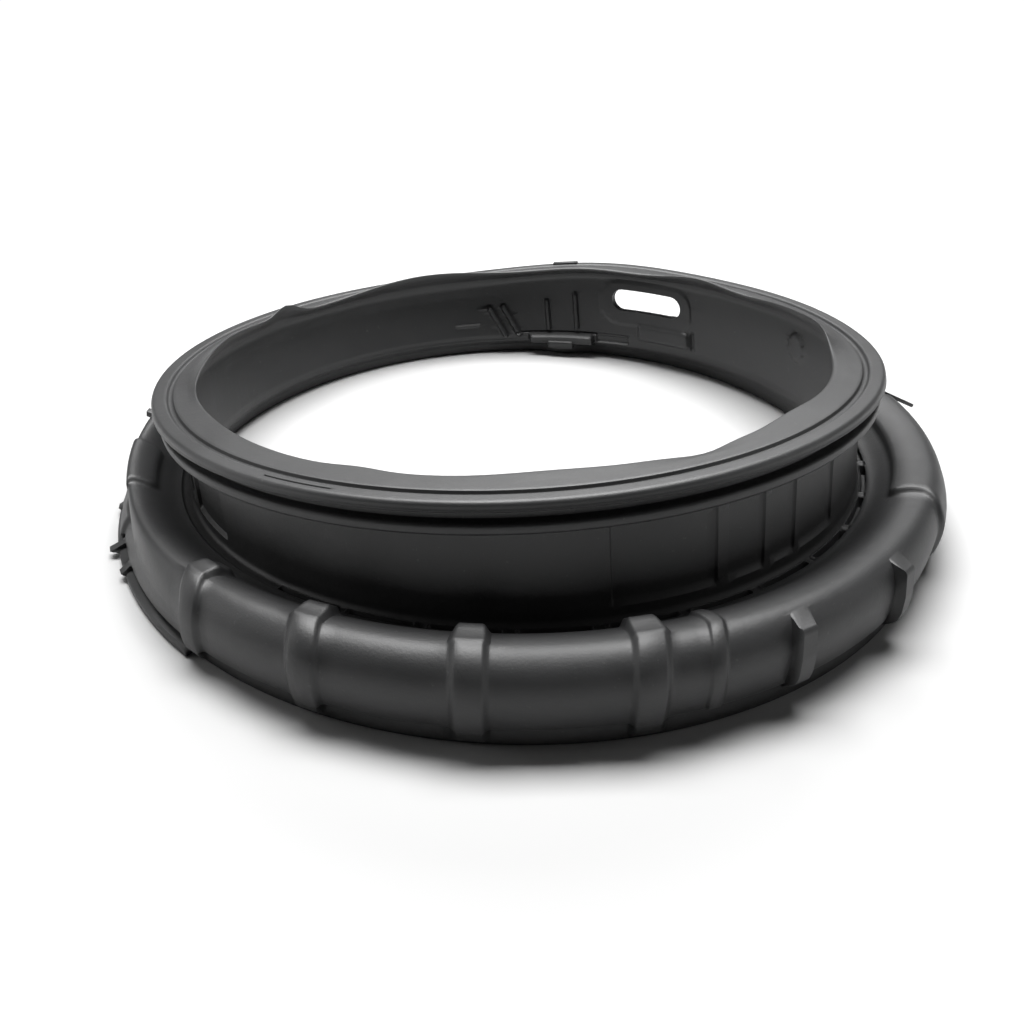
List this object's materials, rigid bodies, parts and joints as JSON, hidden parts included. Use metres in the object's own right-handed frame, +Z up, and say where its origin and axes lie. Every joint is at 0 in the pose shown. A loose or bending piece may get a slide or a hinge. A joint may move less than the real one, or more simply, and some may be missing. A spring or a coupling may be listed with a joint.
{
  "type": "washing machine door seal",
  "caption": "Moulded rubber door bellows for a front-loading washer: a door flange with a wavy lip on a leaning neck, ringed by a fat hollow roll with straps.",
  "frame": {"origin": "centre of the bounding box's bottom face, on the floor under the middle of the roll", "axes": "+Z up through the opening, from the drum side to the door side; -Y towards the high side of the door flange, where the camera stands"},
  "size_m": [0.4466, 0.443, 0.0921],
  "materials": {
    "rubber": "matte"
  },
  "bodies": {
    "root": {"door_seal": "rubber"}
  },
  "joints": []
}
